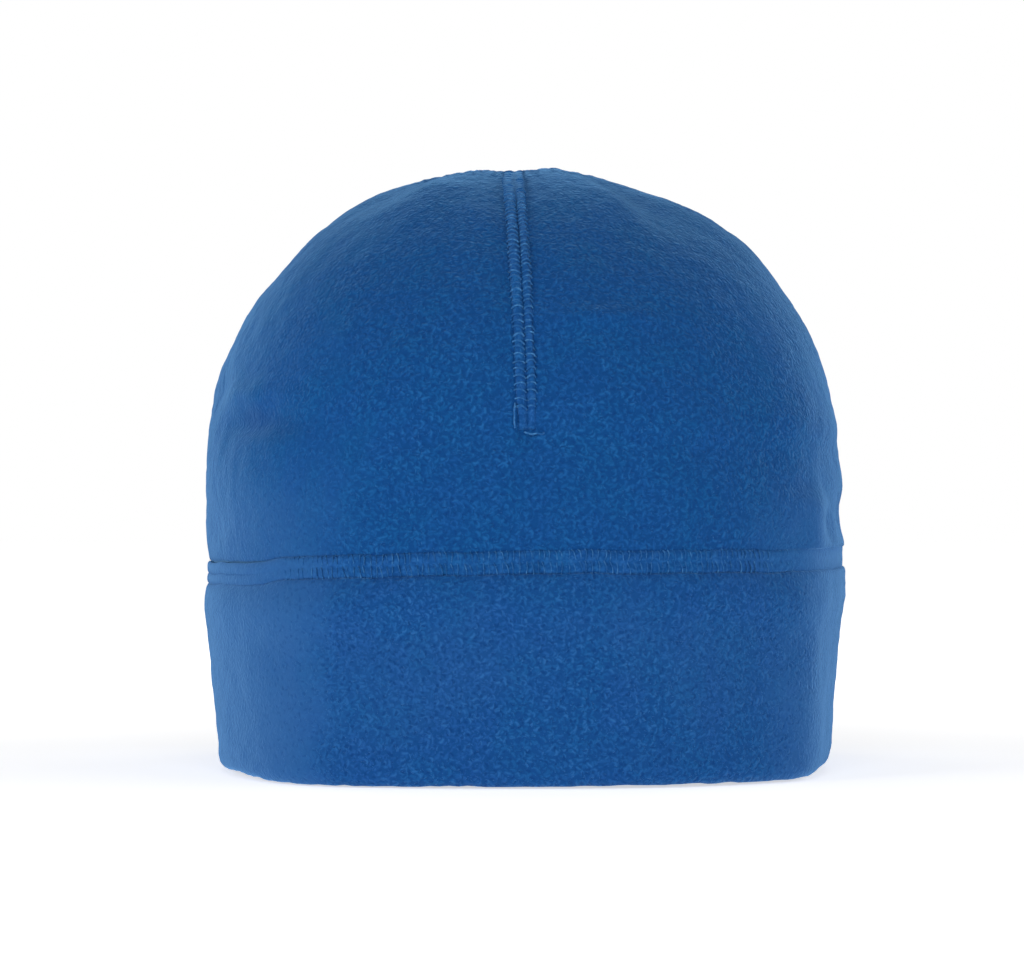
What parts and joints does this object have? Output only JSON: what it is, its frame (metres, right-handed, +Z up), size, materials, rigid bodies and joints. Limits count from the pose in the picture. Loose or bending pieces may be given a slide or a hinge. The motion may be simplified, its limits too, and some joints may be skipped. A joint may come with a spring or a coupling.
{
  "type": "fleece hat",
  "caption": "Brimless fleece hat: a domed crown shaped by flat-seamed darts, over a wide doubled cuff with a rounded rim.",
  "frame": {"origin": "on the floor under the middle of the hat, which stands on its rim", "axes": "+Z up, the front dart towards -Y, the wearer's left hand side towards +X"},
  "size_m": [0.1728, 0.202, 0.1606],
  "materials": {
    "fleece": "matte pilled fleece, royal blue",
    "seam_thread": "overlock thread, royal blue"
  },
  "bodies": {
    "root": {"crown": "fleece", "cuff": "fleece", "cuff_seam": "seam_thread", "crown_seam_long": "seam_thread", "crown_dart_right": "seam_thread", "crown_dart_left": "seam_thread"}
  },
  "joints": []
}
